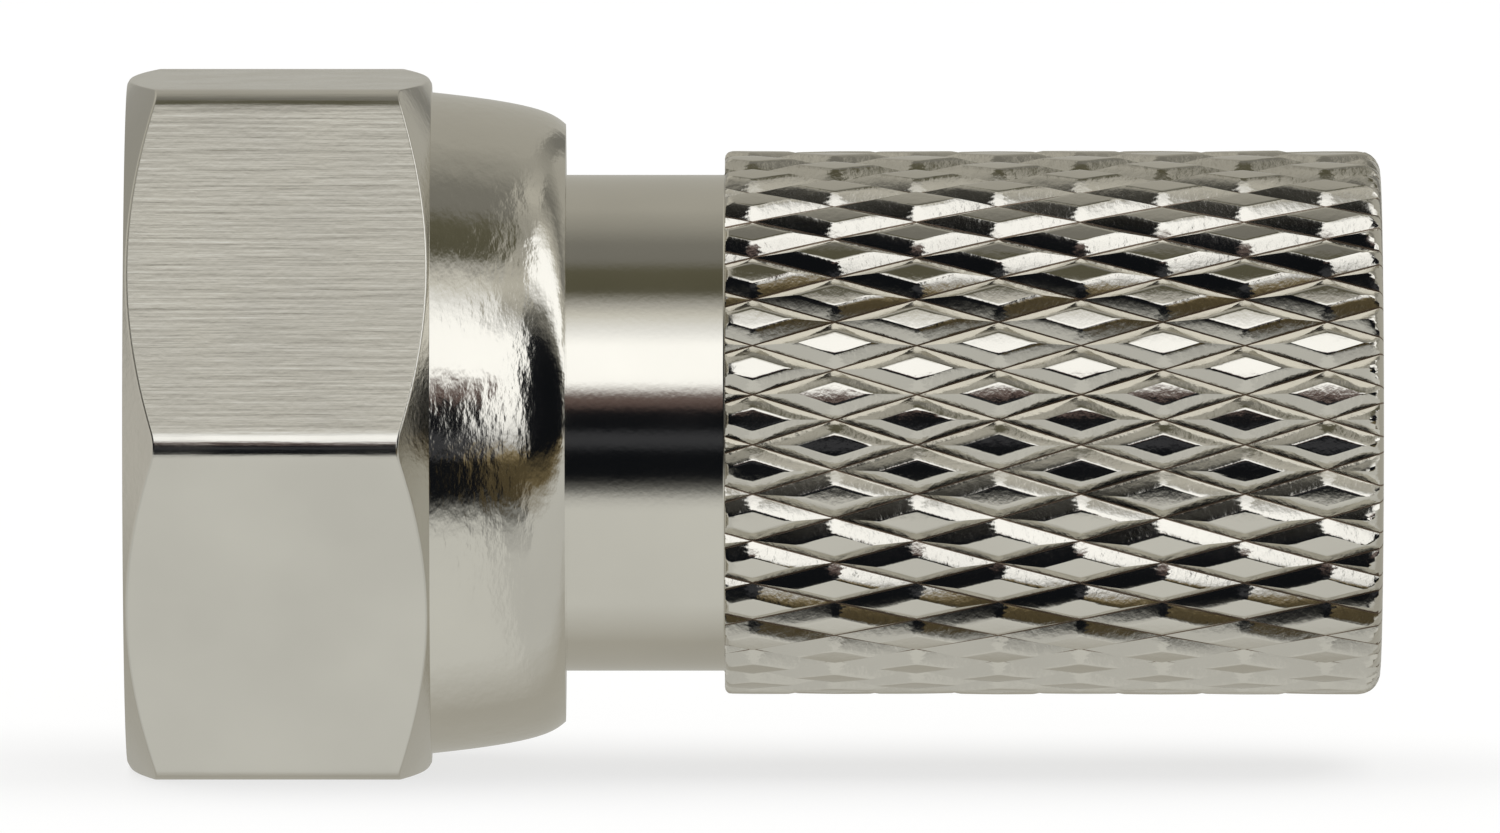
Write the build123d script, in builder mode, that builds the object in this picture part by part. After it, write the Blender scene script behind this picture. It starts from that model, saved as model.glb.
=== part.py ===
from build123d import *
import os
from math import ceil, cos, pi, radians, sin, tan

# Screw-on male F connector for 7 mm coaxial cable, in millimetres.
# The axis is X. The flange's contact face, where a port seats, is at X = 0, and the cable goes in at +X.
# +Z is up, with one flat of the hexagon above and one below.

# Coupling nut: walls and steps are measured from the flange's pocket, lengths from the rear face
across_flats = 11.0
hex_wall = 0.62
hex_length = 4.86
hex_corner_round = 0.5
hex_chamfer_inset = 0.08
hex_chamfer_angle = 30
nut_length = 7.0
collar_front_wall = 0.40
collar_rear_wall = 0.09
collar_bulge = 0.03
collar_edge = 0.28
collar_edge_bulge = 0.05
thread_shoulder = 0.51
mouth_depth = 0.58
lip_length = 0.808
lip_edge = 0.12

# Flange of the body, held in the nut's pocket by the rolled lip
flange_clearance = 0.08
neck_clearance = 0.10
front_float = 0.10
rear_float = 0.10
flange_thickness = 1.05
flange_edge = 0.12
flange_cone_slope = 0.6

# Neck and cable sleeve: walls and steps are measured from the neck
flange_step = 0.84
neck_show = 2.54
neck_wall = 0.71
sleeve_step = 0.38
sleeve_length = 10.46
sleeve_front_edge = 0.13
sleeve_rear_edge = 0.35
sleeve_edge_bulge = 0.08
front_wall = 1.3
front_wall_step = 0.80
bore_mouth = 0.35

# Diamond knurl: raised flat-topped diamonds between two crossing sets of grooves
knurl_starts = 33
knurl_turn = -1.1
knurl_axial_pitch = 2.605
knurl_depth = 0.175
knurl_land = 0.345
knurl_first_column = 0.44
knurl_spare_columns = 1
knurl_trim_gap = 0.13

# Radii, from the hexagon inwards
flat_radius = across_flats / 2
pocket_radius = flat_radius - hex_wall
thread_core_radius = pocket_radius - thread_shoulder
flange_radius = pocket_radius - flange_clearance
neck_radius = flange_radius - flange_step
lip_radius = neck_radius + neck_clearance
sleeve_radius = neck_radius + sleeve_step
bore_radius = neck_radius - neck_wall
centre_hole_radius = bore_radius - front_wall_step

# Places along the axis, from the flange's contact face
flange_front = 0.0
flange_back = flange_front + flange_thickness
flange_cone_back = flange_back + flange_cone_slope * (flange_radius - neck_radius)
thread_back = flange_front - front_float
pocket_back = flange_back + rear_float
lip_front = pocket_back + flange_cone_slope * (pocket_radius - lip_radius)
nut_back = lip_front + lip_length
nut_front = nut_back - nut_length
hex_back = nut_front + hex_length
sleeve_front = nut_back + neck_show
sleeve_back = sleeve_front + sleeve_length
bore_front = flange_front + front_wall

# Knurl cell: the groove lines cross at the four corners of each cell, half a pitch from its middle
groove_radius = sleeve_radius - knurl_depth
half_pitch = knurl_axial_pitch / 2
step_angle = 360 / knurl_starts
half_step = radians(step_angle / 2)
cell_side_y = groove_radius * sin(half_step)
cell_side_drop = groove_radius * (1 - cos(half_step))
cell_width = 2 * half_pitch * cell_side_y / (half_pitch**2 + cell_side_y**2) ** 0.5
land_side_y = cell_side_y * knurl_land / cell_width


def knurl_point(x, angle, radius, sideways=0.0):
    """Point at a radius and an angle in degrees above the near side, moved along the tangent."""
    turn = radians(angle)
    return Vector(
        x,
        sideways * sin(turn) - radius * cos(turn),
        sideways * cos(turn) + radius * sin(turn),
    )


def land_half_length():
    """Half length of a diamond's top that keeps its four sloping sides flat."""
    rise = knurl_depth / cell_side_drop
    return half_pitch * (1 + rise) / (1 + rise * cell_side_y / land_side_y)


def knurl_cell(x, angle):
    """Five faces of one diamond: its flat top and four sloping sides."""
    half_length = land_half_length()
    top = [
        knurl_point(x + half_length, angle, sleeve_radius),
        knurl_point(x, angle, sleeve_radius, land_side_y),
        knurl_point(x - half_length, angle, sleeve_radius),
        knurl_point(x, angle, sleeve_radius, -land_side_y),
    ]
    foot = [
        knurl_point(x + half_pitch, angle, groove_radius),
        knurl_point(x, angle + step_angle / 2, groove_radius),
        knurl_point(x - half_pitch, angle, groove_radius),
        knurl_point(x, angle - step_angle / 2, groove_radius),
    ]
    faces = [Face(Wire.make_polygon(top))]
    for side in range(len(top)):
        after = (side + 1) % len(top)
        outline = [foot[side], foot[after], top[after], top[side]]
        faces.append(Face(Wire.make_polygon(outline)))
    return faces


def end_cell(x, angle, outward):
    """Two faces that close the bar behind one diamond of its first or last column."""
    middle = Vector(x, 0, 0)
    tip = knurl_point(x + outward * half_pitch, angle, groove_radius)
    faces = []
    for side in (-1, 1):
        corner = knurl_point(x, angle + side * step_angle / 2, groove_radius)
        faces.append(Face(Wire.make_polygon([middle, corner, tip])))
    return faces


def knurled_bar():
    """Solid bar with the whole diamond pattern, a little longer than the sleeve at both ends."""
    first = -ceil(knurl_first_column / half_pitch) - knurl_spare_columns
    last = ceil((sleeve_length - knurl_first_column) / half_pitch) + knurl_spare_columns
    faces = []
    for column in range(first, last + 1):
        x = sleeve_front + knurl_first_column + column * half_pitch
        for start in range(knurl_starts):
            angle = (start + (column + 1) % 2 / 2) * step_angle + knurl_turn
            faces += knurl_cell(x, angle)
            if column == first:
                faces += end_cell(x, angle, -1)
            if column == last:
                faces += end_cell(x, angle, 1)
    return Solid(Shell(faces))


# Coupling nut
chamfer_radius = flat_radius - hex_chamfer_inset
corner_radius = flat_radius / cos(pi / 6)
chamfer_run = (corner_radius - chamfer_radius) * tan(radians(hex_chamfer_angle))
collar_front_radius = pocket_radius + collar_front_wall
collar_rear_radius = pocket_radius + collar_rear_wall

with BuildPart() as coupling_nut:
    with BuildSketch(Plane.YZ.offset(nut_front)) as hexagon:
        RegularPolygon(flat_radius, 6, major_radius=False)
        fillet(hexagon.vertices(), hex_corner_round)
    extrude(amount=hex_length)
    # Both ends of the hexagon are chamfered by a cone
    with BuildSketch(Plane.XZ) as chamfers:
        with BuildLine():
            Polyline(
                (nut_front, 0),
                (nut_front, chamfer_radius),
                (nut_front + chamfer_run, corner_radius),
                (hex_back - chamfer_run, corner_radius),
                (hex_back, chamfer_radius),
                (hex_back, 0),
                close=True,
            )
        make_face()
    revolve(axis=Axis.X, mode=Mode.INTERSECT)
    # Collar, rolled inwards at the rear
    with BuildSketch(Plane.XZ) as collar:
        with BuildLine():
            collar_start = (hex_back, collar_front_radius)
            rolled_start = (nut_back - collar_edge, collar_rear_radius)
            rolled_end = (nut_back, collar_rear_radius - collar_edge)
            SagittaArc(collar_start, rolled_start, collar_bulge)
            SagittaArc(rolled_start, rolled_end, collar_edge_bulge)
            Polyline(rolled_end, (nut_back, 0), (hex_back, 0), collar_start)
        make_face()
    revolve(axis=Axis.X)
    # Thread core, pocket for the flange and lip round the neck
    with BuildSketch(Plane.XZ) as opening:
        with BuildLine():
            Polyline(
                (nut_front, 0),
                (nut_front, thread_core_radius + mouth_depth),
                (nut_front + mouth_depth, thread_core_radius),
                (thread_back, thread_core_radius),
                (thread_back, pocket_radius),
                (pocket_back, pocket_radius),
                (lip_front, lip_radius),
                (nut_back - lip_edge, lip_radius),
                (nut_back, lip_radius + lip_edge),
                (nut_back, 0),
                close=True,
            )
        make_face()
    revolve(axis=Axis.X, mode=Mode.SUBTRACT)

# Connector body: flange, neck and knurled cable sleeve, turned from one bar
bar = knurled_bar()

with BuildPart() as connector_body:
    add(bar)
    with BuildSketch(Plane.XZ) as sleeve:
        with BuildLine():
            trim_radius = sleeve_radius + knurl_trim_gap
            rear_start = (sleeve_back - sleeve_rear_edge - knurl_trim_gap, trim_radius)
            rear_end = (sleeve_back, sleeve_radius - sleeve_rear_edge)
            SagittaArc(rear_start, rear_end, sleeve_edge_bulge)
            Polyline(
                rear_end,
                (sleeve_back, bore_radius + bore_mouth),
                (sleeve_back - bore_mouth, bore_radius),
                (sleeve_front, bore_radius),
                (sleeve_front, sleeve_radius - sleeve_front_edge),
                (sleeve_front + sleeve_front_edge + knurl_trim_gap, trim_radius),
                rear_start,
            )
        make_face()
    revolve(axis=Axis.X, mode=Mode.INTERSECT)
    with BuildSketch(Plane.XZ) as flange_and_neck:
        with BuildLine():
            Polyline(
                (flange_front, centre_hole_radius),
                (flange_front, flange_radius - flange_edge),
                (flange_front + flange_edge, flange_radius),
                (flange_back, flange_radius),
                (flange_cone_back, neck_radius),
                (sleeve_front, neck_radius),
                (sleeve_front, bore_radius),
                (bore_front, bore_radius),
                (bore_front, centre_hole_radius),
                close=True,
            )
        make_face()
    revolve(axis=Axis.X)

coupling_nut.part.label = "coupling_nut"
connector_body.part.label = "connector_body"

os.makedirs("parts", exist_ok=True)
export_step(coupling_nut.part, "parts/coupling_nut.step")
export_step(connector_body.part, "parts/connector_body.step")
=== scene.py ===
"""Dressed model of a screw-on F plug: a hexagon coupling nut that turns on a knurled body."""

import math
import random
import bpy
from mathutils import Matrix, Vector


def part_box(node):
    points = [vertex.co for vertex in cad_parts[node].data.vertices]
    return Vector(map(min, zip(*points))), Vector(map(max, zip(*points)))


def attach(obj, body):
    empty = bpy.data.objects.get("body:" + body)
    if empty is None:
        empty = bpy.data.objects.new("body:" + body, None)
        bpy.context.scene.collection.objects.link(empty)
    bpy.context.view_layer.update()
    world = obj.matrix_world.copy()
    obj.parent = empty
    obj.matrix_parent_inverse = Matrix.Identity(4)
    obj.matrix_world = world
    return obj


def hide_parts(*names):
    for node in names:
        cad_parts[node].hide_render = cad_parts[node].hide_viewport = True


bl_info = {
    "name": "Dressed F Plug",
    "version": (1, 0, 0),
    "blender": (4, 5, 0),
    "location": "3D View > Sidebar > F Plug",
    "description": "Builds the nickel-plated nut and knurled body of a screw-on F plug",
    "category": "Object",
}

import bmesh
import bpy
import numpy as np
from bpy.props import FloatProperty, FloatVectorProperty, IntProperty, PointerProperty
from bpy.types import Operator, Panel, PropertyGroup
from mathutils import Vector

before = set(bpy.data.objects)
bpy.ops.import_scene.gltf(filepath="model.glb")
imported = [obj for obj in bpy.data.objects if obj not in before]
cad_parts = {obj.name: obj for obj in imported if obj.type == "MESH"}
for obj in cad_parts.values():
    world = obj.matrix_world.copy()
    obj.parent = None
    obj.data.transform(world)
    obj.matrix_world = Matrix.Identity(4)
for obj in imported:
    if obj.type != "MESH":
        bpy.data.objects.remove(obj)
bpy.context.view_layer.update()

MM = 0.001
NUT_LOW, NUT_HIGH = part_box("coupling_nut")
BODY_LOW, BODY_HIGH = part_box("connector_body")

# Order of the materials on each piece
NUT_FLATS, NUT_TURNED, NUT_THREAD = range(3)
# The body's last material is painted shade along the bottoms of the knurl's grooves
BODY_TURNED, BODY_KNURL, BODY_BORE, BODY_PAINTED_ROOT_SHADE = range(4)

# Fineness of the meshes, and the angles in degrees over which an edge stays sharp
COLLAR_STEPS = 24
BODY_SEGMENTS = 168
BORE_STEPS = 142
JOIN_DISTANCE = 1e-5 * MM
CUT_DISTANCE = 1e-9
NUT_CREASE = 28
BODY_CREASE = 24

# How many points before the nut's thread share its finish, and how far ahead of the
# hexagon's rear face the collar's finish starts
POCKET_POINTS = 12
FINISH_SPARE = 0.002 * MM

# Rounded corners: the sharpest angle allowed for in radians, the largest share of a side that
# a rounding takes, and the short straight after it as shares of the rounding and of the side
SHARPEST_CORNER = 0.05
ROUND_LIMIT = 0.4
STRAIGHT_SHARE = 0.35
STRAIGHT_LIMIT = 0.09

# Fine form of the port thread: its flank angle, flat roots and the ease in its sides
THREAD_FLANK = math.radians(30)
ROOT_FLAT = 0.06
SIDE_EASE = 0.2

# Fine form of the knurl, with the mesh lines up a groove's side as shares of its width
SIDE_LINES = [0.42, 0.72, 0.92, 1.02, 1.16]
LAND_SPARE = 0.01 * MM
RIDGE_SOFTNESS = 0.004 * MM
KNURL_SEED = 11

# Marks in the plating, each as stretch along the axes, scale, detail, strength and distance
BRUSHED = [
    ((0.035, 1, 1), 11000, 4, 0.5, 0.007 * MM),
    ((0.3, 1, 1), 5200, 4, 0.5, 0.006 * MM),
    ((1, 1, 1), 9000, 3, 0.5, 0.003 * MM),
]
ROLLED = [
    ((1, 0.6, 0.6), 4200, 3, 0.8, 0.012 * MM),
    ((1, 0.3, 0.3), 16000, 3, 0.6, 0.003 * MM),
]
TURNED = [
    ((1, 0.02, 0.02), 14000, 3, 0.5, 0.004 * MM),
    ((1, 1, 1), 12000, 3, 0.4, 0.002 * MM),
]
KNURLED = [
    ((1, 1, 1), 7000, 4, 0.6, 0.008 * MM),
    ((1, 1, 1), 22000, 3, 0.5, 0.002 * MM),
]
BORED = [((1, 1, 1), 6000, 3, 0.2, 0.006 * MM)]
EVEN = (1, 1, 1)
STAIN_SCALE = 380
STAIN_DETAIL = 4
STAIN_SHADE = 0.93
SMEAR_SCALE = 900
SMEAR_DETAIL = 3
SMEAR_RANGE = (0.8, 1.3)
NOISE_RANGE = (0.3, 0.7)
ROOT_ROUGHNESS = 0.35

# Where the sets of light bands meet, in degrees to the object's right
LEFT_TO_MIDDLE = (-16, -7)
MIDDLE_TO_RIGHT = (14, 19)
RIGHT_TO_FAR = (23, 28)
LEFT_WALL = (-48, -62)
RIGHT_WALL = (80, 88)

# Stage
FLOOR_HALF = 1.5
FLOOR_ROUGHNESS = 0.9
LAMP_SIZE = 0.9
LAMP_PLACE = (0.02, 0.1, 0.6)
SENSOR_WIDTH = 36.0
CLIP_START = 0.01


def length(name, description, default):
    """A size property in metres."""
    return FloatProperty(
        name=name, description=description, default=default, min=0.0, unit="LENGTH", precision=6
    )


def axis_place(name, description, default):
    """A place along the axis, in metres."""
    return FloatProperty(
        name=name, description=description, default=default, unit="LENGTH", precision=6
    )


def share(name, description, default):
    """A property between 0 and 1."""
    return FloatProperty(
        name=name, description=description, default=default, min=0.0, max=1.0, subtype="FACTOR"
    )


def angle(name, description, default):
    """An angle property, given in degrees and kept in radians."""
    return FloatProperty(
        name=name, description=description, default=math.radians(default), subtype="ANGLE"
    )


def colour(name, description, default):
    """A colour property without alpha."""
    return FloatVectorProperty(
        name=name,
        description=description,
        default=default,
        size=3,
        min=0.0,
        max=4.0,
        subtype="COLOR",
    )


class NutSizes(PropertyGroup):
    """Sizes of the coupling nut."""

    front: axis_place("Front face", "Where the nut's open end is", NUT_LOW[0])
    back: axis_place("Rear face", "Where the collar ends", NUT_HIGH[0])
    flat_radius: length("Flat", "Distance from the axis to a hexagon flat", NUT_HIGH[2])
    hex_length: length("Hexagon length", "Length of the hexagon part", 4.86 * MM)
    corner_round: length("Corner rounding", "Radius along the hexagon's six edges", 0.5 * MM)
    chamfer_radius: length("Chamfer circle", "Radius where the end chamfers start", 5.42 * MM)
    chamfer_angle: angle("Chamfer angle", "Angle between the chamfer and the end face", 30)
    collar_front: length("Collar front", "Outer radius of the collar at the hexagon", 5.28 * MM)
    collar_rear: length("Collar rear", "Outer radius of the collar at its rear face", 4.77 * MM)
    collar_slope: angle("Collar slope", "Slope of the collar where it starts", 6)
    collar_reach: length("Collar reach", "How far the collar keeps to that slope", 1.70 * MM)
    roll_slope: angle("Roll slope", "Slope of the rolled edge where it meets the rear face", 42)
    roll_reach: length("Roll reach", "How far the rolled edge keeps to that slope", 0.28 * MM)
    core_radius: length("Thread core", "Radius at the thread's crests", 4.37 * MM)
    thread_depth: length("Thread depth", "Depth of the port thread", 0.39 * MM)
    thread_start: length("Thread start", "From the front face to the first groove", 0.254 * MM)
    thread_pitch: length("Thread pitch", "Pitch of the port thread", 25.4 / 32 * MM)
    thread_back: length("Thread end", "How far the thread stops before the contact face", 0.10 * MM)
    mouth_radius: length("Mouth", "Radius of the mouth's countersink", 4.95 * MM)
    pocket_radius: length("Pocket", "Radius of the pocket round the flange", 4.88 * MM)
    pocket_back: length("Pocket end", "Where the pocket starts to close", 1.15 * MM)
    lip_radius: length("Lip", "Radius of the lip round the neck", 4.06 * MM)
    lip_front: length("Lip start", "Where the lip reaches its full height", 1.642 * MM)
    edge_round: length("Edge rounding", "Radius of the small turned edges", 0.055 * MM)


class BodySizes(PropertyGroup):
    """Sizes of the knurled body."""

    back: axis_place("Rear face", "Where the cable goes in", BODY_HIGH[0])
    flange_radius: length("Flange", "Outer radius of the flange", BODY_HIGH[2])
    flange_back: length("Flange thickness", "Thickness of the flange at its rim", 1.05 * MM)
    flange_cone: length("Flange cone", "Length of the cone behind the flange", 0.504 * MM)
    neck_radius: length("Neck", "Radius of the plain neck", 3.96 * MM)
    sleeve_front: length("Sleeve start", "Where the knurled sleeve starts", 4.99 * MM)
    sleeve_radius: length("Sleeve", "Radius over the tops of the diamonds", 4.34 * MM)
    front_edge: length("Front edge", "Radius of the sleeve's front edge", 0.12 * MM)
    rear_edge: length("Rear edge", "Radius of the sleeve's rear edge", 0.35 * MM)
    hole_radius: length("Centre hole", "Radius of the hole in the front wall", 2.45 * MM)
    front_wall: length("Front wall", "Thickness of the front wall", 1.3 * MM)
    bore_radius: length("Cable bore", "Radius at the crests of the jacket thread", 3.25 * MM)
    jacket_pitch: length("Jacket thread pitch", "Pitch of the thread for the cable", 1.4 * MM)
    jacket_depth: length("Jacket thread depth", "Depth of that thread", 0.24 * MM)
    jacket_start: length("Jacket thread start", "Where a groove is on the near side", 2.99 * MM)
    mouth_radius: length("Cable mouth", "Radius of the cable bore's mouth", 3.6 * MM)
    edge_round: length("Edge rounding", "Radius of the small turned edges", 0.04 * MM)


class KnurlSizes(PropertyGroup):
    """Sizes of the diamond knurl."""

    starts: IntProperty(name="Starts", description="Grooves of each hand", default=33, min=8)
    turn: angle("Turn", "Turn of the pattern about the axis", -1.1)
    axial_pitch: length("Axial pitch", "Distance between diamonds along the axis", 2.605 * MM)
    first_column: length("First column", "From the sleeve's front to its first diamonds", 0.44 * MM)
    land: length("Land", "Width of a diamond's flat top across its sides", 0.345 * MM)
    depth: length("Depth", "Depth of the grooves", 0.163 * MM)
    hollow: share("Hollow", "How much flatter a groove's sides are near its bottom", 0.05)
    # The dark line is painted shade: a dark colour on the faces along each groove's bottom
    root_width: length("Root width", "Half width of the dark line at a groove's bottom", 0.013 * MM)
    land_round: length("Land rounding", "Rounding along the edges of the tops", 0.006 * MM)
    unevenness: length("Unevenness", "How far the tops stand out of line", 0.004 * MM)
    tilt: angle("Tilt", "How far the tops lean", 1.0)


class NickelLook(PropertyGroup):
    """Colours and finish of the plating, and the painted shade for the bottoms of the knurl's
    grooves.
    """

    flats: colour("Flats", "Plating on the hexagon", (0.70, 0.677, 0.610))
    turned: colour("Turned faces", "Plating on the collar and neck", (0.71, 0.684, 0.610))
    knurl: colour("Knurl", "Plating on the knurled sleeve", (0.69, 0.663, 0.592))
    bore: colour("Threads", "Plating in the two bores", (0.62, 0.590, 0.520))
    # Painted shade: a dark brown colour laid along the bottoms of the knurl's grooves
    root: colour("Painted groove shade", "Painted shade in the bottoms of the grooves", (0.26, 0.20, 0.15))
    flat_roughness: share("Flat roughness", "Roughness of the hexagon's flats", 0.16)
    turned_roughness: share("Turned roughness", "Roughness of the turned faces", 0.09)
    knurl_roughness: share("Knurl roughness", "Roughness of the knurl", 0.10)


class StudioLook(PropertyGroup):
    """Camera, floor and the light round the object."""

    camera_angle: angle("Camera angle", "How far the camera looks down", 3.7)
    camera_distance: length("Camera distance", "From the camera to the object", 0.6)
    view_width: length("View width", "Width of the picture at the object", 23.96 * MM)
    view_centre: length("View centre", "Middle of the picture along the axis", 5.39 * MM)
    view_height: length("View height", "Middle of the picture above the axis", 0.10 * MM)
    floor_colour: colour("Floor", "Colour of the floor", (0.86, 0.86, 0.86))
    floor_lift: share("Floor lift", "Share of plain white in what the camera sees", 0.72)
    softbox: colour("Softbox", "Light of the softbox", (1.40, 1.42, 1.46))
    warm_box: colour("Warm softbox", "Upper edge of the softbox", (0.98, 0.97, 0.92))
    shade: colour("Shade", "Dark gap above the softbox", (0.105, 0.100, 0.068))
    ceiling: colour("Ceiling", "Light from above and behind", (0.47, 0.46, 0.42))
    table: colour("Table", "Light from the surface below", (0.735, 0.742, 0.725))
    table_far: colour("Far table", "Light from below and behind", (0.47, 0.46, 0.42))
    room: colour("Room", "Dark room behind the camera", (0.006, 0.007, 0.009))
    warm_edge: colour("Warm edge", "Brown line under the softbox", (0.14, 0.098, 0.090))
    brown_wall: colour("Brown wall", "Wall to the right, under the softbox", (0.130, 0.102, 0.054))
    cool_line: colour("Cool line", "Thin line in the dark room", (0.05, 0.052, 0.060))
    backdrop: colour("Backdrop", "Pale wall at the sides", (0.62, 0.61, 0.58))
    lamp_power: FloatProperty(
        name="Lamp power",
        description="Soft lamp over the floor",
        default=4.5,
        min=0.0,
        unit="POWER",
    )


def rounded(profile, radii, steps=4):
    """Rounds the corners of many like profiles at once, with plain stretches kept straight.

    profile has the shape (slices, corners, 2) and is open; radii has one value for each corner,
    and a corner whose radius is 0 stays a single point.
    """
    pieces = [profile[:, :1]]
    for corner in range(1, profile.shape[1] - 1):
        here = profile[:, corner]
        if radii[corner] == 0:
            pieces.append(here[:, None])
            continue
        back = profile[:, corner - 1] - here
        ahead = profile[:, corner + 1] - here
        back_length = np.linalg.norm(back, axis=1, keepdims=True)
        ahead_length = np.linalg.norm(ahead, axis=1, keepdims=True)
        back = back / back_length
        ahead = ahead / ahead_length
        inner = np.arccos(np.clip((back * ahead).sum(axis=1, keepdims=True), -1, 1))
        shorter = np.minimum(back_length, ahead_length)
        reach = radii[corner] / np.tan(np.maximum(inner, SHARPEST_CORNER) / 2)
        reach = np.minimum(reach, ROUND_LIMIT * shorter)
        start = here + back * reach
        end = here + ahead * reach
        hold = np.minimum(STRAIGHT_SHARE * reach, STRAIGHT_LIMIT * shorter)
        points = [start + back * hold]
        for step in range(steps + 1):
            t = step / steps
            points.append((1 - t) ** 2 * start + 2 * t * (1 - t) * here + t**2 * end)
        points.append(end + ahead * hold)
        pieces.append(np.stack(points, axis=1))
    pieces.append(profile[:, -1:])
    return np.concatenate(pieces, axis=1)


def falling_curve(start, end, start_slope, start_reach, end_slope, end_reach, steps):
    """Points of a smooth curve in (x, radius) that falls from one point to the other."""
    start, end = np.array(start), np.array(end)
    leave = start + start_reach * np.array([math.cos(start_slope), -math.sin(start_slope)])
    arrive = end + end_reach * np.array([-math.cos(end_slope), math.sin(end_slope)])
    points = []
    for t in np.linspace(0, 1, steps + 1):
        u = 1 - t
        points.append(u**3 * start + 3 * u * u * t * leave + 3 * u * t * t * arrive + t**3 * end)
    return points


def thread_radius(x, turn, start, core, depth, pitch, half_width):
    """Radius of a right-hand internal thread at places along the axis and turns in radians."""
    phase = (x - start) / pitch + turn / (2 * math.pi)
    distance = np.abs(phase - np.round(phase)) * pitch
    rise = np.clip(1 + ROOT_FLAT - distance / half_width, 0, 1)
    return core + depth * (SIDE_EASE * rise * rise * (3 - 2 * rise) + (1 - SIDE_EASE) * rise)


def thread_columns(winding, low, high, start, pitch, half_width):
    """Places along the axis that follow a thread's helix, held between its two ends.

    Gives one row of places for each turn, and how many columns one whole turn moves them.
    """
    flank = np.linspace(ROOT_FLAT, 1 + ROOT_FLAT, 5) * half_width / pitch
    half = np.concatenate(([0.0], flank, [0.5]))
    marks = np.concatenate((half, 1 - half[-2:0:-1]))
    first = math.floor((low - start) / pitch + winding[0] / (2 * math.pi))
    last = math.ceil((high - start) / pitch + winding[0] / (2 * math.pi)) + 1
    phases = np.append((np.arange(first, last)[:, None] + marks).reshape(-1), last)
    x = start + pitch * (phases[None, :] - winding[:, None] / (2 * math.pi))
    return np.clip(x, low, high), len(marks)


def hexagon_outline(flat_radius, corner_round):
    """Angles above the near side and radii of a rounded hexagon with a flat on top."""
    flat_steps = np.concatenate(([0, 0.012, 0.04], np.linspace(0.1, 0.9, 25), [0.96, 0.988, 1.0]))
    arc_steps = np.linspace(0, 1, 9)[1:-1]
    corner_distance = (flat_radius - corner_round) / math.cos(math.radians(30))
    points = []
    for side in range(6):
        corner = math.radians(60 * side)
        centre = corner_distance * np.array([math.cos(corner), math.sin(corner)])
        for t in arc_steps:
            normal = corner + math.radians(60 * t - 30)
            points.append(centre + corner_round * np.array([math.cos(normal), math.sin(normal)]))
        after = math.radians(60 * side + 60)
        next_centre = corner_distance * np.array([math.cos(after), math.sin(after)])
        normal = corner + math.radians(30)
        lift = corner_round * np.array([math.cos(normal), math.sin(normal)])
        for t in flat_steps:
            points.append((1 - t) * centre + t * next_centre + lift)
    points = np.array(points)
    turns = np.arctan2(points[:, 1], points[:, 0])
    return turns, np.linalg.norm(points, axis=1)


def place(x, radius, turn):
    """Points in space from places along the axis, radii and angles above the near side."""
    return np.stack((x, -radius * np.cos(turn), radius * np.sin(turn)), axis=-1)


def grid_faces(rows, columns, met, wrap_columns):
    """Quads between neighbouring points of a grid whose points are numbered row by row.

    met gives the column of the first row that each column of the last row meets.
    """
    index = np.arange(rows * columns).reshape(rows, columns)
    index = np.vstack((index, index[:1, met]))
    if wrap_columns:
        index = np.hstack((index, index[:, :1]))
    quads = np.stack((index[:-1, :-1], index[:-1, 1:], index[1:, 1:], index[1:, :-1]), axis=-1)
    return quads.reshape(-1, 4)


def new_object(name, mesh, materials):
    """Links a mesh to the scene with its materials."""
    for material in materials:
        mesh.materials.append(material)
    piece = bpy.data.objects.new(name, mesh)
    bpy.context.scene.collection.objects.link(piece)
    return piece


def finish_normals(mesh, limit):
    """Joins points that coincide, and shades smoothly except along edges sharper than a limit."""
    edit = bmesh.new()
    edit.from_mesh(mesh)
    bmesh.ops.remove_doubles(edit, verts=edit.verts, dist=JOIN_DISTANCE)
    bmesh.ops.recalc_face_normals(edit, faces=edit.faces)
    edit.to_mesh(mesh)
    edit.free()
    mesh.polygons.foreach_set("use_smooth", [True] * len(mesh.polygons))
    mesh.set_sharp_from_angle(angle=math.radians(limit))


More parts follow.
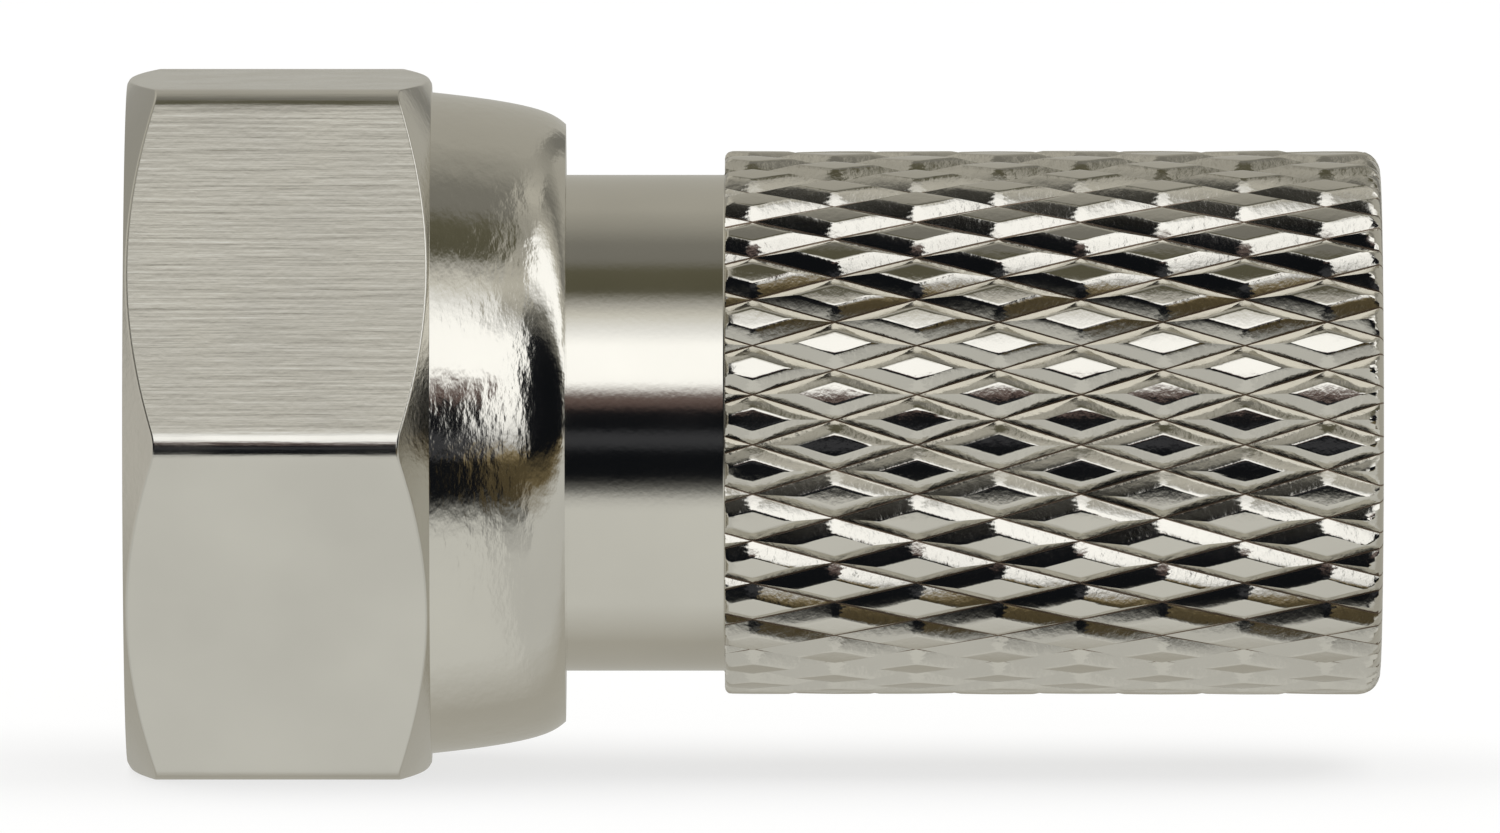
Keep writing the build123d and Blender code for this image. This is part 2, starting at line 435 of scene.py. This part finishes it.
def nut_profiles(sizes, turns, radii):
    """Closed cross-sections of the nut, one for each angle of the hexagon's outline.

    Also gives how many points of a section come before the thread's, and by how many points
    one whole turn moves the thread.
    """
    slices = len(turns)
    run = (radii - sizes.chamfer_radius) * math.tan(sizes.chamfer_angle)
    hex_back = sizes.front + sizes.hex_length
    collar = falling_curve(
        (hex_back, sizes.collar_front),
        (sizes.back, sizes.collar_rear),
        sizes.collar_slope,
        sizes.collar_reach,
        sizes.roll_slope,
        sizes.roll_reach,
        COLLAR_STEPS,
    )
    flat = np.ones(slices)

    def across(point):
        return np.stack((flat * point[0], flat * point[1]), axis=-1)

    outer = [
        across((sizes.front, sizes.mouth_radius)),
        across((sizes.front, sizes.chamfer_radius)),
        np.stack((sizes.front + run, radii), axis=-1),
        np.stack((hex_back - run, radii), axis=-1),
        across((hex_back, sizes.chamfer_radius)),
    ]
    turned = [across(point) for point in collar]
    inner = [
        across((sizes.back, sizes.lip_radius)),
        across((sizes.lip_front, sizes.lip_radius)),
        across((sizes.pocket_back, sizes.pocket_radius)),
        across((-sizes.thread_back, sizes.pocket_radius)),
        across((-sizes.thread_back, sizes.core_radius + sizes.thread_depth)),
    ]
    step_in = 2 * sizes.edge_round
    corners = [across((sizes.front + step_in, sizes.mouth_radius - step_in))]
    corners += outer + turned + inner
    radii_list = [0.0] + [sizes.edge_round] * len(outer) + [0.0] * len(turned)
    radii_list += [step_in] * len(inner)
    profile = rounded(np.stack(corners, axis=1), radii_list)
    winding = np.unwrap(turns)
    start = sizes.front + sizes.thread_start
    depth, pitch = sizes.thread_depth, sizes.thread_pitch
    half_width = depth * math.tan(THREAD_FLANK)
    low, high = sizes.front + step_in, -sizes.thread_back
    x, shift = thread_columns(winding, low, high, start, pitch, half_width)
    x = x[:, ::-1]
    radius = thread_radius(x, winding[:, None], start, sizes.core_radius, depth, pitch, half_width)
    radius = np.maximum(radius, sizes.mouth_radius - (x - sizes.front))
    thread = np.stack((x, radius), axis=-1)
    return np.concatenate((profile, thread), axis=1), profile.shape[1], shift


def build_nut(sizes, materials):
    """Mesh of the nut: hexagon, rolled collar, pocket and helical thread in one closed skin."""
    turns, radii = hexagon_outline(sizes.flat_radius, sizes.corner_round)
    profile, plain, shift = nut_profiles(sizes, turns, radii)
    slices, points = profile.shape[:2]
    met = np.arange(points)
    met[plain:] = np.minimum(met[plain:] + shift, points - 1)
    where = place(profile[..., 0], profile[..., 1], turns[:, None]).reshape(-1, 3)
    faces = grid_faces(slices, points, met, True)
    mesh = bpy.data.meshes.new("dressed_nut")
    mesh.from_pydata(where.tolist(), [], faces.tolist())
    hex_back = sizes.front + sizes.hex_length
    column = np.tile(np.arange(points), slices)
    x = profile[..., 0].reshape(-1)
    finish = np.full(len(faces), NUT_FLATS, dtype=np.int32)
    finish[x >= hex_back - FINISH_SPARE] = NUT_TURNED
    finish[column >= plain - POCKET_POINTS] = NUT_THREAD
    mesh.polygons.foreach_set("material_index", finish)
    finish_normals(mesh, NUT_CREASE)
    return new_object("dressed_nut", mesh, materials)


def groove(distance, depth, half_width, hollow, edge_round):
    """Depth of a V groove with slightly hollow sides and softened edges."""
    t = distance / half_width
    depth_here = depth * ((1 - t) - hollow * t * (1 - np.minimum(t, 1)))
    return 0.5 * (depth_here + np.sqrt(depth_here**2 + edge_round**2))


def cell_marks(sizes, cell_width):
    """Places across one diamond, from groove to groove, where the mesh has its lines."""
    half_groove = (cell_width - sizes.land) / 2
    side = half_groove * np.array(SIDE_LINES)
    marks = np.concatenate(([0.0, sizes.root_width], side)) / cell_width
    return np.concatenate((marks, [0.5], (1 - marks)[::-1][:-1]))


def knurl_lattice(sizes, body):
    """Vertices and faces of the knurled skin, made of whole diamonds that share their grooves."""
    half_pitch = sizes.axial_pitch / 2
    half_step = math.pi / sizes.starts
    side = (body.sleeve_radius - sizes.depth) * math.sin(half_step)
    cell_width = 2 * half_pitch * side / math.hypot(half_pitch, side)
    marks = cell_marks(sizes, cell_width)
    steps = len(marks)
    whole = np.append(marks, 1.0)
    half_groove = (cell_width - sizes.land) / 2
    first = -math.ceil(sizes.first_column / half_pitch) - 1
    roots = (0, steps - 1)
    last = math.floor((body.back - body.sleeve_front - sizes.first_column) / half_pitch) + 2
    x_zero = body.sleeve_front + sizes.first_column - half_pitch
    turns_round = 2 * sizes.starts * steps
    chooser = random.Random(KNURL_SEED)
    numbers = {}
    points = []
    faces = []
    p_local, q_local = np.meshgrid(whole, whole, indexing="ij")
    falling = np.minimum(p_local, 1 - p_local) * cell_width
    rising = np.minimum(q_local, 1 - q_local) * cell_width
    falling = groove(falling, sizes.depth, half_groove, sizes.hollow, sizes.land_round)
    rising = groove(rising, sizes.depth, half_groove, sizes.hollow, sizes.land_round)
    depth = 0.5 * (falling + rising + np.sqrt((falling - rising) ** 2 + RIDGE_SOFTNESS**2))
    on_top = np.clip(1 - depth / sizes.depth, 0, 1)
    along = (p_local + q_local - 1) * half_pitch
    around = (p_local - q_local) * side
    for column in range(first, last + 1):
        for row in range(column % 2, 2 * sizes.starts + column % 2, 2):
            i = (column + row) // 2
            j = (column - row) // 2
            lean_x = chooser.gauss(0, sizes.tilt)
            lean_y = chooser.gauss(0, sizes.tilt)
            raised = chooser.gauss(0, sizes.unevenness)
            shift = on_top * (raised + along * lean_x * 0.5 + around * lean_y)
            radius = body.sleeve_radius - depth + shift
            radius = np.minimum(radius, body.sleeve_radius + LAND_SPARE)
            x = x_zero + (i + p_local + j + q_local) * half_pitch
            turn = (i + p_local - j - q_local + 1) * half_step + sizes.turn
            where = place(x, radius, turn)
            ids = np.empty((steps + 1, steps + 1), dtype=int)
            for k in range(steps + 1):
                for m in range(steps + 1):
                    p_index = i * steps + k
                    q_index = j * steps + m
                    key = (p_index + q_index, (p_index - q_index) % turns_round)
                    if key not in numbers:
                        numbers[key] = len(points)
                        points.append(where[k, m])
                    ids[k, m] = numbers[key]
            for k in range(steps):
                for m in range(steps):
                    a, b = ids[k, m], ids[k + 1, m]
                    c, d = ids[k + 1, m + 1], ids[k, m + 1]
                    # Faces along a groove's bottom get the painted shade
                    finish = BODY_PAINTED_ROOT_SHADE if k in roots or m in roots else BODY_KNURL
                    if k == m:
                        faces += [((a, b, c), finish), ((a, c, d), finish)]
                    elif k + m == steps - 1:
                        faces += [((a, b, d), finish), ((b, c, d), finish)]
                    else:
                        faces.append(((a, b, c, d), finish))
    return points, faces


def edge_limit(x, body):
    """Largest radius of the sleeve at a place along the axis, with its two rounded ends."""
    front = x - body.sleeve_front
    rear = body.back - x
    limit = body.sleeve_radius + LAND_SPARE
    for distance, edge in ((front, body.front_edge), (rear, body.rear_edge)):
        if distance < edge:
            drop = edge - math.sqrt(max(edge**2 - (edge - distance) ** 2, 0))
            limit = min(limit, body.sleeve_radius - drop)
    return limit


def cut_sleeve(edit, body):
    """Trims the knurled skin to the sleeve's length and rounds both of its ends."""
    front_cuts = [0, 0.08, 0.25, 0.5, 1.0]
    rear_cuts = [0, 0.02, 0.08, 0.2, 0.4, 0.65, 1.0]
    places = [(body.sleeve_front + t * body.front_edge, -1) for t in front_cuts]
    places += [(body.back - t * body.rear_edge, 1) for t in rear_cuts]
    for number, (x, outward) in enumerate(places):
        geometry = list(edit.verts) + list(edit.edges) + list(edit.faces)
        ends = number in (0, len(front_cuts))
        bmesh.ops.bisect_plane(
            edit,
            geom=geometry,
            dist=CUT_DISTANCE,
            plane_co=(x, 0, 0),
            plane_no=(outward, 0, 0),
            clear_outer=ends,
        )
    for vertex in edit.verts:
        radius = math.hypot(vertex.co.y, vertex.co.z)
        limit = edge_limit(vertex.co.x, body)
        if radius > limit:
            vertex.co.y *= limit / radius
            vertex.co.z *= limit / radius


def body_profile(sizes):
    """Open cross-section of the body from the sleeve's front, round the inside, to its rear."""
    mouth_run = sizes.mouth_radius - sizes.bore_radius
    edge = sizes.edge_round
    corners = [
        (sizes.sleeve_front, sizes.neck_radius + 2 * edge),
        (sizes.sleeve_front, sizes.neck_radius),
        (sizes.flange_back + sizes.flange_cone, sizes.neck_radius),
        (sizes.flange_back, sizes.flange_radius),
        (0.0, sizes.flange_radius),
        (0.0, sizes.hole_radius),
        (sizes.front_wall, sizes.hole_radius),
        (sizes.front_wall, sizes.bore_radius + sizes.jacket_depth),
    ]
    radii = [0, edge, 4 * edge, 2 * edge, 3 * edge, edge, edge, 0]
    front = rounded(np.array([corners]), radii)[0]
    rear_corners = [
        (sizes.back - mouth_run, sizes.bore_radius),
        (sizes.back, sizes.mouth_radius),
        (sizes.back, sizes.sleeve_radius - sizes.rear_edge - edge),
    ]
    rear = rounded(np.array([rear_corners]), [0, edge, 0])[0]
    return front, rear[1:]


def build_body(sizes, knurl, materials):
    """Mesh of the body: knurled sleeve, neck, flange and the bore with its jacket thread."""
    turns = np.linspace(0, 2 * math.pi, BODY_SEGMENTS, endpoint=False)
    front, rear = body_profile(sizes)
    mouth_run = sizes.mouth_radius - sizes.bore_radius
    x = np.linspace(sizes.front_wall, sizes.back - mouth_run, BORE_STEPS)[1:]
    phase = 2 * math.pi * (x[None, :] - sizes.jacket_start) / sizes.jacket_pitch + turns[:, None]
    thread = sizes.bore_radius + sizes.jacket_depth * (0.5 + 0.5 * np.cos(phase))
    thread[:, -1] = sizes.bore_radius + sizes.jacket_depth
    cone = sizes.bore_radius + np.maximum(x - (sizes.back - 2 * mouth_run), 0)
    thread = np.maximum(thread, cone[None, :])
    thread = np.minimum(thread, sizes.mouth_radius)
    head = np.broadcast_to(front, (BODY_SEGMENTS, len(front), 2))
    tail = np.broadcast_to(rear, (BODY_SEGMENTS, len(rear), 2))
    middle = np.stack((np.broadcast_to(x, thread.shape), thread), axis=-1)
    profile = np.concatenate((head, middle, tail), axis=1)
    where = place(profile[..., 0], profile[..., 1], turns[:, None])
    columns = profile.shape[1]
    faces = grid_faces(BODY_SEGMENTS, columns, np.arange(columns), False)
    points, knurl_faces = knurl_lattice(knurl, sizes)

    edit = bmesh.new()
    knurl_vertices = [edit.verts.new(point) for point in points]
    for face, finish in knurl_faces:
        edit.faces.new([knurl_vertices[number] for number in face]).material_index = finish
    cut_sleeve(edit, sizes)
    rims = [edge for edge in edit.edges if edge.is_boundary]
    middle_x = (sizes.sleeve_front + sizes.back) / 2
    front_rim = [edge for edge in rims if edge.verts[0].co.x < middle_x]
    rear_rim = [edge for edge in rims if edge.verts[0].co.x > middle_x]

    inner_vertices = [edit.verts.new(point) for point in where.reshape(-1, 3)]
    bore_from = len(front) - 1
    for face in faces:
        made = edit.faces.new([inner_vertices[number] for number in face])
        made.material_index = BODY_BORE if face[0] % columns >= bore_from else BODY_TURNED
    for rim, column in ((front_rim, 0), (rear_rim, columns - 1)):
        ring = [inner_vertices[row * columns + column] for row in range(BODY_SEGMENTS)]
        ring_edges = [edit.edges.get(ends) for ends in zip(ring, ring[1:] + ring[:1])]
        made = bmesh.ops.bridge_loops(edit, edges=rim + ring_edges)
        for face in made["faces"]:
            face.material_index = BODY_TURNED
    mesh = bpy.data.meshes.new("dressed_body")
    edit.to_mesh(mesh)
    edit.free()
    finish_normals(mesh, BODY_CREASE)
    return new_object("dressed_body", mesh, materials)


def new_material(name):
    """A material with an empty node tree, its shader and its output."""
    material = bpy.data.materials.new(name)
    material.use_nodes = True
    tree = material.node_tree
    tree.nodes.clear()
    output = tree.nodes.new("ShaderNodeOutputMaterial")
    shader = tree.nodes.new("ShaderNodeBsdfPrincipled")
    tree.links.new(shader.outputs["BSDF"], output.inputs["Surface"])
    return material, tree, shader


def noise(tree, coordinates, stretch, scale, detail):
    """Noise that follows the object, stretched along its axes."""
    mapping = tree.nodes.new("ShaderNodeMapping")
    mapping.inputs["Scale"].default_value = stretch
    tree.links.new(coordinates, mapping.inputs["Vector"])
    texture = tree.nodes.new("ShaderNodeTexNoise")
    texture.inputs["Scale"].default_value = scale
    texture.inputs["Detail"].default_value = detail
    tree.links.new(mapping.outputs["Vector"], texture.inputs["Vector"])
    return texture.outputs["Fac"]


def spread(tree, value, low, high):
    """Maps a noise value, which mostly stays between two limits, to a range."""
    ranged = tree.nodes.new("ShaderNodeMapRange")
    ranged.inputs["From Min"].default_value = NOISE_RANGE[0]
    ranged.inputs["From Max"].default_value = NOISE_RANGE[1]
    ranged.inputs["To Min"].default_value = low
    ranged.inputs["To Max"].default_value = high
    tree.links.new(value, ranged.inputs["Value"])
    return ranged.outputs["Result"]


def bump(tree, height, strength, distance, below=None):
    """A bump from a height, added over another bump."""
    node = tree.nodes.new("ShaderNodeBump")
    node.inputs["Strength"].default_value = strength
    node.inputs["Distance"].default_value = distance
    tree.links.new(height, node.inputs["Height"])
    if below is not None:
        tree.links.new(below, node.inputs["Normal"])
    return node.outputs["Normal"]


def nickel(name, tint, roughness, relief):
    """Bright nickel with faint stains; relief lists the fine marks in its surface."""
    material, tree, shader = new_material(name)
    coordinates = tree.nodes.new("ShaderNodeTexCoord").outputs["Object"]
    stain = noise(tree, coordinates, EVEN, STAIN_SCALE, STAIN_DETAIL)
    mix = tree.nodes.new("ShaderNodeMix")
    mix.data_type = "RGBA"
    mix.inputs["A"].default_value = (*[STAIN_SHADE * part for part in tint], 1)
    mix.inputs["B"].default_value = (*tint, 1)
    tree.links.new(spread(tree, stain, 0, 1), mix.inputs["Factor"])
    tree.links.new(mix.outputs["Result"], shader.inputs["Base Color"])
    smear = noise(tree, coordinates, EVEN, SMEAR_SCALE, SMEAR_DETAIL)
    low, high = (factor * roughness for factor in SMEAR_RANGE)
    tree.links.new(spread(tree, smear, low, high), shader.inputs["Roughness"])
    shader.inputs["Metallic"].default_value = 1.0
    normal = None
    for stretch, scale, detail, strength, distance in relief:
        height = noise(tree, coordinates, stretch, scale, detail)
        normal = bump(tree, height, strength, distance, normal)
    if normal is not None:
        tree.links.new(normal, shader.inputs["Normal"])
    return material


class FPLUG_OT_nut(Operator):
    """Build the coupling nut"""

    bl_idname = "fplug.nut"
    bl_label = "Build Coupling Nut"

    def execute(self, context):
        sizes = context.scene.fplug_nut
        look = context.scene.fplug_nickel
        flats = nickel("nickel_flats", look.flats, look.flat_roughness, BRUSHED)
        turned = nickel("nickel_collar", look.turned, look.turned_roughness, ROLLED)
        thread = nickel("nickel_port_thread", look.bore, look.turned_roughness, BORED)
        piece = build_nut(sizes, [flats, turned, thread])
        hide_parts("coupling_nut")
        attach(piece, "nut")
        return {"FINISHED"}


class FPLUG_OT_body(Operator):
    """Build the knurled body"""

    bl_idname = "fplug.body"
    bl_label = "Build Knurled Body"

    def execute(self, context):
        scene = context.scene
        look = scene.fplug_nickel
        turned = nickel("nickel_neck", look.turned, look.turned_roughness, TURNED)
        knurl = nickel("nickel_knurl", look.knurl, look.knurl_roughness, KNURLED)
        bore = nickel("nickel_bore", look.bore, look.turned_roughness, BORED)
        # Dark material that paints the shade into the groove bottoms
        root = nickel("nickel_groove_painted_shade", look.root, ROOT_ROUGHNESS, [])
        piece = build_body(scene.fplug_body, scene.fplug_knurl, [turned, knurl, bore, root])
        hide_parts("connector_body")
        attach(piece, "plug_body")
        return {"FINISHED"}


def math_node(tree, operation, *values):
    """A math node fed by sockets or plain numbers."""
    node = tree.nodes.new("ShaderNodeMath")
    node.operation = operation
    for socket, value in zip(node.inputs, values):
        if isinstance(value, (int, float)):
            socket.default_value = value
        else:
            tree.links.new(value, socket)
    return node.outputs["Value"]


def ramp(tree, degrees_socket, stops):
    """A colour ramp over a full circle, from stops given as (degrees, colour)."""
    value = math_node(tree, "MULTIPLY_ADD", degrees_socket, 1 / 360, 0.5)
    node = tree.nodes.new("ShaderNodeValToRGB")
    elements = node.color_ramp.elements
    while len(elements) > 1:
        elements.remove(elements[-1])
    for number, (degrees, shade) in enumerate(stops):
        position = degrees / 360 + 0.5
        element = elements[0] if number == 0 else elements.new(position)
        element.position = position
        element.color = (*shade, 1)
    tree.links.new(value, node.inputs["Fac"])
    return node.outputs["Color"]


def plain_colour(tree, shade):
    """A socket with one colour."""
    node = tree.nodes.new("ShaderNodeRGB")
    node.outputs["Color"].default_value = (*shade, 1)
    return node.outputs["Color"]


def blend_colours(tree, factor, first, second):
    """Mixes two colour sockets."""
    mix = tree.nodes.new("ShaderNodeMix")
    mix.data_type = "RGBA"
    tree.links.new(factor, mix.inputs["Factor"])
    tree.links.new(first, mix.inputs["A"])
    tree.links.new(second, mix.inputs["B"])
    return mix.outputs["Result"]


def ease(tree, value, low, high):
    """Smooth step of a socket from one limit to the other; it falls when they are swapped."""
    ranged = tree.nodes.new("ShaderNodeMapRange")
    ranged.interpolation_type = "SMOOTHSTEP"
    ranged.inputs["From Min"].default_value = min(low, high)
    ranged.inputs["From Max"].default_value = max(low, high)
    ranged.inputs["To Min"].default_value = 0.0 if low < high else 1.0
    ranged.inputs["To Max"].default_value = 1.0 if low < high else 0.0
    tree.links.new(value, ranged.inputs["Value"])
    return ranged.outputs["Result"]


def scaled(shade, factor):
    """A colour made brighter or darker."""
    return [factor * part for part in shade]


def middle_stops(look):
    """Bands of light in front of the object, by height above the camera's side."""
    box, shade, table, room, ceiling = look.softbox, look.shade, look.table, look.room, look.ceiling
    return [
        (-180, look.table_far),
        (-120, look.table_far),
        (-90, scaled(table, 0.95)),
        (-37, table),
        (-32, scaled(table, 0.8)),
        (-28, scaled(table, 0.3)),
        (-25, scaled(table, 0.1)),
        (-22, room),
        (-10, room),
        (-6, look.cool_line),
        (-2, look.cool_line),
        (1, room),
        (9, room),
        (13, look.warm_edge),
        (16, look.warm_edge),
        (22, box),
        (40, box),
        (47, scaled(box, 0.76)),
        (55, scaled(look.warm_box, 0.78)),
        (61, scaled(look.warm_box, 0.46)),
        (67, shade),
        (79, scaled(shade, 1.15)),
        (85, scaled(ceiling, 0.47)),
        (96, scaled(ceiling, 0.50)),
        (108, scaled(ceiling, 0.78)),
        (122, ceiling),
        (180, scaled(ceiling, 1.05)),
    ]


def left_stops(look):
    """The same bands to the object's left, where no softbox stands."""
    table, room, ceiling = look.table, look.room, look.ceiling
    return [
        (-180, look.table_far),
        (-120, look.table_far),
        (-90, scaled(table, 0.85)),
        (-31, scaled(table, 0.87)),
        (-25, scaled(table, 0.58)),
        (-20, scaled(table, 0.2)),
        (-14, scaled(table, 0.045)),
        (-8, room),
        (20, room),
        (30, scaled(ceiling, 0.026)),
        (41, scaled(ceiling, 0.08)),
        (51, scaled(ceiling, 0.13)),
        (56, scaled(ceiling, 0.34)),
        (62, scaled(ceiling, 0.77)),
        (73, scaled(ceiling, 1.08)),
        (84, scaled(ceiling, 0.97)),
        (95, scaled(ceiling, 1.17)),
        (106, scaled(ceiling, 1.3)),
        (125, scaled(ceiling, 1.25)),
        (137, scaled(ceiling, 1.15)),
        (150, scaled(ceiling, 0.85)),
        (180, scaled(ceiling, 0.7)),
    ]


def right_stops(look):
    """The bands to the right, where the softbox reaches lower, over a brown wall."""
    box, table, ceiling = look.softbox, look.table, look.ceiling
    return [
        (-180, look.table_far),
        (-120, look.table_far),
        (-90, scaled(table, 0.85)),
        (-50, scaled(table, 0.85)),
        (-38, scaled(table, 0.66)),
        (-31, scaled(table, 0.28)),
        (-26, scaled(look.brown_wall, 0.55)),
        (-13, scaled(look.brown_wall, 0.75)),
        (-8, scaled(look.brown_wall, 2.2)),
        (-3, scaled(box, 0.45)),
        (2, scaled(box, 0.85)),
        (9, box),
        (35, box),
        (41, scaled(box, 0.55)),
        (46, scaled(ceiling, 0.95)),
        (56, scaled(ceiling, 1.32)),
        (67, scaled(ceiling, 1.04)),
        (78, scaled(ceiling, 0.77)),
        (89, scaled(ceiling, 0.97)),
        (100, scaled(ceiling, 1.28)),
        (111, scaled(ceiling, 1.02)),
        (124, scaled(ceiling, 0.82)),
        (146, scaled(ceiling, 0.48)),
        (180, scaled(ceiling, 0.4)),
    ]


def far_stops(look):
    """The bands far to the right, where only the second panel is bright."""
    box, table, room, ceiling = look.softbox, look.table, look.room, look.ceiling
    return [
        (-180, look.table_far),
        (-120, look.table_far),
        (-90, scaled(table, 0.85)),
        (-35, scaled(table, 0.88)),
        (-20, scaled(look.brown_wall, 1.3)),
        (-9, room),
        (38, room),
        (50, scaled(ceiling, 0.5)),
        (62, box),
        (78, box),
        (88, scaled(ceiling, 1.25)),
        (107, scaled(ceiling, 0.45)),
        (130, ceiling),
        (180, scaled(ceiling, 1.05)),
    ]


def build_world(look):
    """Light round the object: softboxes above the camera, a dark room behind it, a pale table."""
    world = bpy.data.worlds.new("studio")
    world.use_nodes = True
    bpy.context.scene.world = world
    tree = world.node_tree
    tree.nodes.clear()
    output = tree.nodes.new("ShaderNodeOutputWorld")
    background = tree.nodes.new("ShaderNodeBackground")
    tree.links.new(background.outputs["Background"], output.inputs["Surface"])
    direction = tree.nodes.new("ShaderNodeTexCoord").outputs["Generated"]
    parts = tree.nodes.new("ShaderNodeSeparateXYZ")
    tree.links.new(direction, parts.inputs["Vector"])
    forward = math_node(tree, "MULTIPLY", parts.outputs["Y"], -1.0)
    height = math_node(tree, "ARCTAN2", parts.outputs["Z"], forward)
    height = math_node(tree, "DEGREES", height)
    side = math_node(tree, "ARCSINE", parts.outputs["X"])
    side = math_node(tree, "DEGREES", side)

    left = ramp(tree, height, left_stops(look))
    middle = ramp(tree, height, middle_stops(look))
    right = ramp(tree, height, right_stops(look))
    far = ramp(tree, height, far_stops(look))
    wall = plain_colour(tree, look.backdrop)
    colours = blend_colours(tree, ease(tree, side, *LEFT_TO_MIDDLE), left, middle)
    colours = blend_colours(tree, ease(tree, side, *MIDDLE_TO_RIGHT), colours, right)
    colours = blend_colours(tree, ease(tree, side, *RIGHT_TO_FAR), colours, far)
    colours = blend_colours(tree, ease(tree, side, *LEFT_WALL), colours, wall)
    colours = blend_colours(tree, ease(tree, side, *RIGHT_WALL), colours, wall)
    seen = tree.nodes.new("ShaderNodeLightPath").outputs["Is Camera Ray"]
    colours = blend_colours(tree, seen, colours, plain_colour(tree, (1, 1, 1)))
    tree.links.new(colours, background.inputs["Color"])
    background.inputs["Strength"].default_value = 1.0


def floor_material(look):
    """Pale floor, lifted towards white where the camera sees it, that keeps the shadow."""
    material, tree, shader = new_material("pale_floor")
    shader.inputs["Base Color"].default_value = (*look.floor_colour, 1)
    shader.inputs["Roughness"].default_value = FLOOR_ROUGHNESS
    shader.inputs["Specular IOR Level"].default_value = 0.0
    glow = tree.nodes.new("ShaderNodeEmission")
    glow.inputs["Color"].default_value = (1, 1, 1, 1)
    mix = tree.nodes.new("ShaderNodeMixShader")
    seen = tree.nodes.new("ShaderNodeLightPath").outputs["Is Camera Ray"]
    tree.links.new(math_node(tree, "MULTIPLY", seen, look.floor_lift), mix.inputs["Fac"])
    tree.links.new(shader.outputs["BSDF"], mix.inputs[1])
    tree.links.new(glow.outputs["Emission"], mix.inputs[2])
    output = next(node for node in tree.nodes if node.type == "OUTPUT_MATERIAL")
    tree.links.new(mix.outputs["Shader"], output.inputs["Surface"])
    return material


class FPLUG_OT_stage(Operator):
    """Build the floor, the light and the camera"""

    bl_idname = "fplug.stage"
    bl_label = "Build Stage"

    def execute(self, context):
        scene = context.scene
        look = scene.fplug_studio
        scene.view_settings.view_transform = "Standard"
        build_world(look)

        mesh = bpy.data.meshes.new("floor")
        corners = [(-1, -1), (1, -1), (1, 1), (-1, 1)]
        points = [(FLOOR_HALF * x, FLOOR_HALF * y, NUT_LOW[2]) for x, y in corners]
        mesh.from_pydata(points, [], [(0, 1, 2, 3)])
        floor = new_object("floor", mesh, [floor_material(look)])
        floor.visible_glossy = False

        lamp_data = bpy.data.lights.new("soft_lamp", "AREA")
        lamp_data.shape = "RECTANGLE"
        lamp_data.size = LAMP_SIZE
        lamp_data.size_y = LAMP_SIZE
        lamp_data.energy = look.lamp_power
        lamp = bpy.data.objects.new("soft_lamp", lamp_data)
        lamp.location = LAMP_PLACE
        lamp.rotation_euler = (-lamp.location).to_track_quat("-Z", "Y").to_euler()
        lamp.visible_glossy = False
        scene.collection.objects.link(lamp)

        camera_data = bpy.data.cameras.new("camera")
        camera_data.sensor_width = SENSOR_WIDTH
        camera_data.lens = camera_data.sensor_width * look.camera_distance / look.view_width
        camera_data.clip_start = CLIP_START
        camera = bpy.data.objects.new("camera", camera_data)
        aim = Vector((look.view_centre, 0.0, look.view_height))
        away = Vector((0, -math.cos(look.camera_angle), math.sin(look.camera_angle)))
        camera.location = aim + away * look.camera_distance
        camera.rotation_euler = (-away).to_track_quat("-Z", "Y").to_euler()
        scene.collection.objects.link(camera)
        scene.camera = camera
        return {"FINISHED"}


class FPLUG_PT_panel(Panel):
    """Lists the operators and sizes"""

    bl_idname = "FPLUG_PT_panel"
    bl_label = "F Plug"
    bl_space_type = "VIEW_3D"
    bl_region_type = "UI"
    bl_category = "F Plug"

    def draw(self, context):
        layout = self.layout
        for group in ("fplug_nut", "fplug_body", "fplug_knurl", "fplug_nickel", "fplug_studio"):
            box = layout.box()
            settings = getattr(context.scene, group)
            for name in settings.__annotations__:
                box.prop(settings, name)
        for operator in (FPLUG_OT_nut, FPLUG_OT_body, FPLUG_OT_stage):
            layout.operator(operator.bl_idname)


GROUPS = {
    "fplug_nut": NutSizes,
    "fplug_body": BodySizes,
    "fplug_knurl": KnurlSizes,
    "fplug_nickel": NickelLook,
    "fplug_studio": StudioLook,
}
CLASSES = (*GROUPS.values(), FPLUG_OT_nut, FPLUG_OT_body, FPLUG_OT_stage, FPLUG_PT_panel)


def register():
    """Registers the classes and hangs the settings on the scene."""
    for item in CLASSES:
        bpy.utils.register_class(item)
    for name, group in GROUPS.items():
        setattr(bpy.types.Scene, name, PointerProperty(type=group))


def unregister():
    """Takes the settings and classes away again."""
    for name in GROUPS:
        delattr(bpy.types.Scene, name)
    for item in reversed(CLASSES):
        bpy.utils.unregister_class(item)


def main():
    """Builds every piece and the stage."""
    register()
    bpy.ops.fplug.nut()
    bpy.ops.fplug.body()
    bpy.ops.fplug.stage()


if __name__ == "__main__":
    main()
